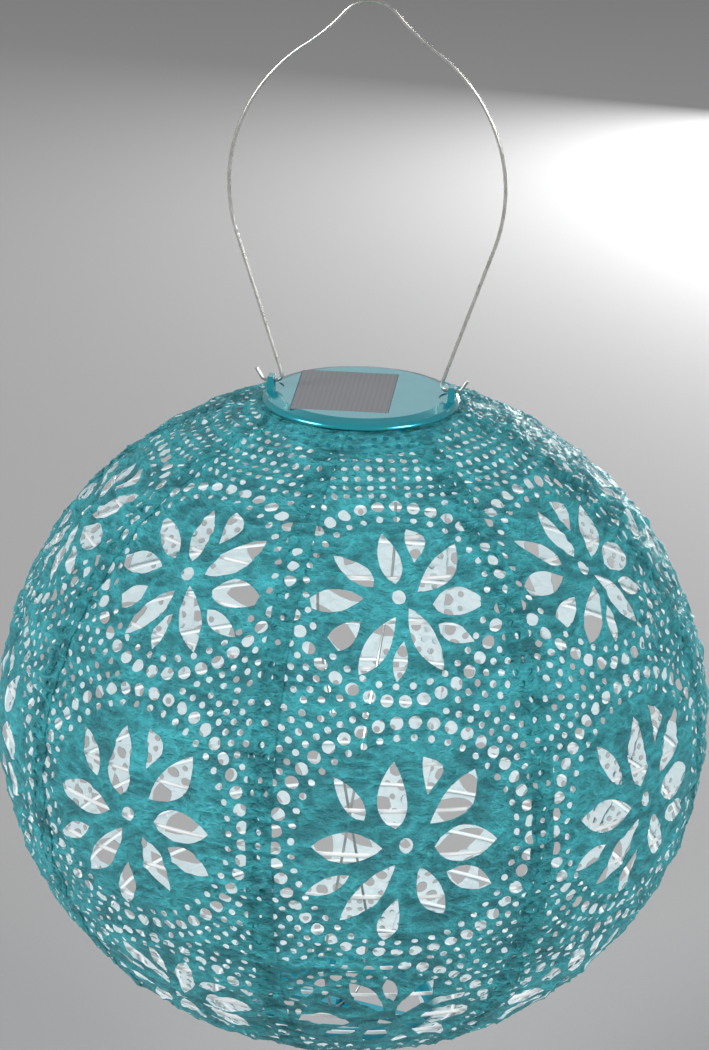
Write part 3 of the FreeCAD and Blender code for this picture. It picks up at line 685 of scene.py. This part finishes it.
def plastic_finish(name, base, rough, grain=0.00001, metal=0.0, coat=0.0):
    """Moulded or coated plastic with faint grain and shade."""
    finish = Finish(name)
    place = finish.coordinates()
    cloud = finish.noise(place, 60, 3, 0.5)
    fine = finish.noise(place, 2600, 2, 0.6)
    tint = finish.ramp(cloud, (0.3, shade(base, 0.93)), (0.7, shade(base, 1.05)))
    finish.set(Base_Color=tint, Metallic=metal, Normal=finish.bump(fine, grain))
    finish.set(Roughness=finish.span(cloud, rough - 0.03, rough + 0.04))
    finish.set(Coat_Weight=coat, Coat_Roughness=0.12)
    return finish.material


def panel_finish(name):
    """The film over the solar cell: grey, with fine lines across it."""
    finish = Finish(name)
    place = finish.coordinates()
    turned = finish.node("ShaderNodeMapping", Vector=place)
    turned.inputs["Rotation"].default_value = (0, 0, math.radians(-2.2))
    lines = finish.node("ShaderNodeTexWave", {"bands_direction": "X"}, Vector=turned.outputs[0])
    finish.feed(lines, {"Scale": 150.0, "Distortion": 0.2, "Detail": 1.0})
    speck = finish.noise(place, 900, 2, 0.5)
    bands = lines.outputs["Fac"]
    tint = finish.ramp(bands, (0.1, (0.190, 0.200, 0.215)), (0.6, (0.215, 0.225, 0.240)))
    normal = finish.bump(speck, 0.00001)
    finish.set(Base_Color=tint, Roughness=0.42, Normal=normal, Specular_IOR_Level=0.45)
    return finish.material


def floor_finish(base):
    """Plain matt paint with a very fine grain."""
    finish = Finish("floor_paint")
    grain = finish.noise(finish.coordinates(), 700, 2, 0.5)
    tint = finish.ramp(grain, (0.3, shade(base, 0.985)), (0.7, shade(base, 1.015)))
    finish.set(Base_Color=tint, Roughness=0.8, Normal=finish.bump(grain, 0.00001))
    finish.set(Specular_IOR_Level=0.25)
    return finish.material


def finishes(sheet):
    """Every finish, by the record's slot."""
    return {
        "handle_wire": steel_finish("drawn_steel", (0.66, 0.645, 0.61), 0.27, 240),
        "expander_steel": steel_finish("expander_steel", (0.42, 0.42, 0.41), 0.34, 300),
        "screw_steel": steel_finish("screw_steel", (0.68, 0.68, 0.67), 0.25, 500),
        "contact_plate": steel_finish("nickel_plate", (0.72, 0.70, 0.66), 0.22, 400),
        "lid_enamel": plastic_finish("lid_metallic", (0.012, 0.38, 0.46), 0.22, 6e-6, 0.6, 0.9),
        "housing_plastic": plastic_finish("housing_turquoise", (0.0, 0.30, 0.40), 0.35),
        "panel_film": panel_finish("panel_film"),
        "cell_board": plastic_finish("cell_board", (0.035, 0.04, 0.055), 0.4),
        "foam": plastic_finish("foam", (0.72, 0.72, 0.70), 0.9, 0.00004),
        "battery_sleeve": plastic_finish("battery_sleeve", (0.10, 0.36, 0.16), 0.3),
        "board": plastic_finish("circuit_board", (0.02, 0.16, 0.06), 0.4),
        "black_plastic": plastic_finish("black_plastic", (0.02, 0.02, 0.022), 0.45),
        "switch_knob": plastic_finish("switch_knob", (0.80, 0.80, 0.78), 0.4),
        "lamp_resin": plastic_finish("lamp_resin", (0.85, 0.82, 0.62), 0.12, 2e-6, 0.0, 0.8),
        "lead_sleeve": plastic_finish("lead_sleeve", (0.42, 0.03, 0.02), 0.45),
        "ring_plastic": plastic_finish("ring_plastic", (0.0, 0.24, 0.32), 0.35, 0.00002),
        "rib_wire": plastic_finish("rib_coating", (0.80, 0.82, 0.82), 0.38, 0.00001),
    }


# ---- operators ---------------------------------------------------------------------------------


def finished(mesh, name, body, slot, *replaced):
    """Put a mesh in the scene as a piece on a body."""
    piece = bpy.data.objects.new(name, mesh)
    bpy.context.scene.collection.objects.link(piece)
    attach(piece, body)
    if replaced:
        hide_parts(*replaced)
    return piece


class LANTERN_OT_finishes(bpy.types.Operator):
    """Give every fixed part the finish of its slot"""

    bl_idname = "lantern.finishes"
    bl_label = "Finish the Fixed Parts"

    def execute(self, context):
        made = finishes(context.scene.lantern_sheet)
        slots = {part["node"]: part["material_slot"] for part in frame["record"]["subparts"]}
        for name, node in frame["nodes"].items():
            if slots[name] not in made:
                continue
            node.data.materials.clear()
            node.data.materials.append(made[slots[name]])
        return {"FINISHED"}


class LANTERN_OT_shell(bpy.types.Operator):
    """Cut, crease and hang the eight gores"""

    bl_idname = "lantern.shell"
    bl_label = "Make the Shell"

    def execute(self, context):
        scene = context.scene
        sheet, wires = scene.lantern_sheet, scene.lantern_wires
        globe = Globe()
        gore = FlatGore(globe, scene.lantern_cut_outs, sheet)
        flat, triangles = gore.mesh_parts()
        materials = [
            sheet_finish("sheet_outside", sheet, True),
            sheet_finish("sheet_inside", sheet, False),
        ]
        for number in range(GORES):
            middle = globe.first_seam + GORE_TURN * (number + 0.5)
            name = f"sheet_gore_{number + 1}"
            mesh = laid_gore(name, globe, sheet, wires, flat, triangles, middle)
            piece = finished(mesh, name, "globe", "shell_sheet", f"gore_{number + 1}")
            for material in materials:
                piece.data.materials.append(material)
            thicken(piece, sheet.thickness)
        return {"FINISHED"}


def laid_gore(name, globe, sheet, wires, flat, triangles, middle):
    """The flat gore laid round the globe, with its creases."""
    mesh = bpy.data.meshes.new(name)
    mesh.from_pydata([(x, y, 0) for x, y in flat.tolist()], [], triangles)
    layer = mesh.uv_layers.new(name="flat_cut")
    corners = np.empty(len(mesh.loops), np.int32)
    mesh.loops.foreach_get("vertex_index", corners)
    layer.data.foreach_set("uv", (flat[corners] + [middle, 0]).ravel())
    turn = middle + flat[:, 0] / globe.radius(flat[:, 1])
    run = flat[:, 1]
    turn, run = pulled(globe, sheet, turn, run)
    side = flat[:, 0] / (globe.half_gore(flat[:, 1]) + sheet.lap)
    over = sheet.lap_rise * np.sign(side) * np.clip((np.abs(side) - 0.72) / 0.18, 0, 1)
    rise, folds = creases(globe, sheet, turn, run)
    rise += over + scallops(sheet, wires, turn, run)
    edge = np.clip((globe.edge_run - np.abs(flat[:, 1])) / 0.004, 0.25, 1)
    places = globe.points(turn, run, rise * edge)
    mesh.vertices.foreach_set("co", places.astype(np.float32).ravel())
    # The crease heights, kept for the outside finish, which paints shade and highlights by them.
    depth = mesh.attributes.new("crease_shade", "FLOAT", "POINT")
    low, high = np.percentile(folds, (3, 97))
    depth.data.foreach_set("value", np.clip((folds - low) / (high - low), 0, 1).astype(np.float32))
    mesh.shade_smooth()
    mesh.update()
    return mesh


def thicken(piece, thickness):
    """Give a sheet its thickness inwards, bare side inside, with crisp cut edges."""
    wall = piece.modifiers.new("wall", "SOLIDIFY")
    wall.thickness = thickness
    wall.offset = -1
    wall.material_offset = 1
    bpy.context.view_layer.update()
    shown = piece.evaluated_get(bpy.context.evaluated_depsgraph_get())
    thick = bpy.data.meshes.new_from_object(shown)
    thick.name = piece.data.name
    piece.modifiers.remove(wall)
    piece.data = thick
    thick.set_sharp_from_angle(angle=SHARP_ANGLE)


class LANTERN_OT_rib(bpy.types.Operator):
    """Wind the spiral rib that holds the sheet round"""

    bl_idname = "lantern.rib"
    bl_label = "Wind the Rib"

    def execute(self, context):
        wires = context.scene.lantern_wires
        globe = Globe()
        turns = wires.rib_reach / wires.rib_pitch
        above = (wires.rib_reach - wires.rib_start) / wires.rib_pitch
        first = FRONT_TURN - 2 * math.pi * above
        count = round(2 * turns * RIB_STEPS)
        turn = first + np.arange(count) * 2 * math.pi / RIB_STEPS
        run = rib_run(wires, turn)
        line = globe.points(turn, run, np.full(count, -wires.rib_inset))
        mesh = round_wire("spiral_rib", line, wires.rib_radius, 8)
        finished(mesh, "spiral_rib", "globe", "rib_wire", "rib_wire")
        mesh.materials.append(bpy.data.materials["rib_coating"])
        return {"FINISHED"}


def round_wire(name, line, radius, sides):
    """A round wire along a line of points, with closed ends."""
    curve = bpy.data.curves.new(name, "CURVE")
    curve.dimensions = "3D"
    curve.bevel_depth = radius
    curve.bevel_resolution = sides // 4
    curve.use_fill_caps = True
    spline = curve.splines.new("POLY")
    spline.points.add(len(line) - 1)
    spline.points.foreach_set("co", np.c_[line, np.ones(len(line))].ravel())
    holder = bpy.data.objects.new(name, curve)
    mesh = bpy.data.meshes.new_from_object(holder)
    mesh.name = name
    bpy.data.objects.remove(holder)
    bpy.data.curves.remove(curve)
    mesh.shade_smooth()
    return mesh


class LANTERN_OT_stage(bpy.types.Operator):
    """Set out the floor, the soft lights and the camera"""

    bl_idname = "lantern.stage"
    bl_label = "Set the Stage"

    def execute(self, context):
        scene = context.scene
        stage = scene.lantern_stage
        globe = Globe()
        low = CAD_BOUNDS[0]
        middle = Vector((0, 0, globe.centre))
        floor_mesh = bpy.data.meshes.new("floor")
        flat = bmesh.new()
        bmesh.ops.create_circle(flat, cap_ends=True, radius=5.0, segments=96)
        bmesh.ops.translate(flat, verts=flat.verts, vec=(0, 0, low[2] - stage.floor_drop))
        flat.to_mesh(floor_mesh)
        flat.free()
        floor = bpy.data.objects.new("floor", floor_mesh)
        scene.collection.objects.link(floor)
        floor_mesh.materials.append(floor_finish(stage.floor_colour))
        lamps = [
            ("key_light", (-1.9, -1.25, 1.15), 0.9, stage.key_power),
            ("fill_light", (1.9, -1.2, 0.95), 0.9, stage.fill_power),
            ("back_light", (0.3, 2.0, 0.0), 0.4, stage.back_power),
            ("sheen_light", (-0.24, 2.0, 0.86), 1.2, stage.sheen_power),
        ]
        for name, place, size, power in lamps:
            data = bpy.data.lights.new(name, "AREA")
            data.size, data.energy = size, power
            lamp = bpy.data.objects.new(name, data)
            lamp.location = middle + Vector(place)
            lamp.rotation_euler = (-Vector(place)).to_track_quat("-Z", "Y").to_euler()
            lamp.visible_camera = False
            scene.collection.objects.link(lamp)
        data = bpy.data.lights.new("inner_light", "POINT")
        data.shadow_soft_size, data.energy = 0.03, stage.inner_power
        lamp = bpy.data.objects.new("inner_light", data)
        lamp.location = middle
        lamp.visible_camera = False
        scene.collection.objects.link(lamp)
        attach(lamp, "globe")
        world = bpy.data.worlds.new("studio")
        world.use_nodes = True
        world.node_tree.nodes["Background"].inputs["Color"].default_value = (1, 1, 1, 1)
        world.node_tree.nodes["Background"].inputs["Strength"].default_value = stage.sky
        scene.world = world
        scene.view_settings.view_transform = "Standard"
        set_camera(scene, stage, middle)
        return {"FINISHED"}


def set_camera(scene, stage, middle):
    """A long lens, above and a little to the right of the front."""
    azimuth, elevation = math.radians(stage.azimuth), math.radians(stage.elevation)
    level = Vector((math.sin(azimuth), -math.cos(azimuth), 0))
    away = level * math.cos(elevation) + Vector((0, 0, math.sin(elevation)))
    place = middle + stage.distance * away
    aside = Vector((math.cos(azimuth), math.sin(azimuth), 0))
    target = middle + aside * stage.aim_side + Vector((0, 0, stage.aim_height))
    data = bpy.data.cameras.new("camera")
    data.lens, data.sensor_width, data.sensor_fit = stage.lens, 36.0, "AUTO"
    data.clip_start, data.clip_end = 0.05, 20.0
    camera = bpy.data.objects.new("camera", data)
    look = (target - place).to_track_quat("-Z", "Y").to_matrix()
    turned = look @ Matrix.Rotation(math.radians(stage.roll), 3, "Z")
    camera.matrix_world = Matrix.Translation(place) @ turned.to_4x4()
    scene.collection.objects.link(camera)
    scene.camera = camera


# ---- panel and registration --------------------------------------------------------------------


class LANTERN_PT_build(bpy.types.Panel):
    """Lists the lantern's settings and the steps that make it"""

    bl_label = "Solar Lantern"
    bl_space_type = "VIEW_3D"
    bl_region_type = "UI"
    bl_category = "Lantern"

    def draw(self, context):
        scene = context.scene
        for group in (
            scene.lantern_cut_outs,
            scene.lantern_sheet,
            scene.lantern_wires,
            scene.lantern_stage,
        ):
            column = self.layout.box().column()
            for key in group.__annotations__:
                column.prop(group, key)
        for step in OPERATORS:
            self.layout.operator(step.bl_idname)


GROUPS = {
    "lantern_cut_outs": LanternCutOuts,
    "lantern_sheet": LanternSheet,
    "lantern_wires": LanternWires,
    "lantern_stage": LanternStage,
}
OPERATORS = [LANTERN_OT_stage, LANTERN_OT_finishes, LANTERN_OT_rib, LANTERN_OT_shell]


def register():
    for name, group in GROUPS.items():
        bpy.utils.register_class(group)
        setattr(bpy.types.Scene, name, bpy.props.PointerProperty(type=group))
    for made in [*OPERATORS, LANTERN_PT_build]:
        bpy.utils.register_class(made)


def unregister():
    for made in [LANTERN_PT_build, *reversed(OPERATORS)]:
        bpy.utils.unregister_class(made)
    for name, group in GROUPS.items():
        delattr(bpy.types.Scene, name)
        bpy.utils.unregister_class(group)


def main():
    register()
    bpy.ops.lantern.stage()
    bpy.ops.lantern.finishes()
    bpy.ops.lantern.rib()
    bpy.ops.lantern.shell()


if __name__ == "__main__":
    main()
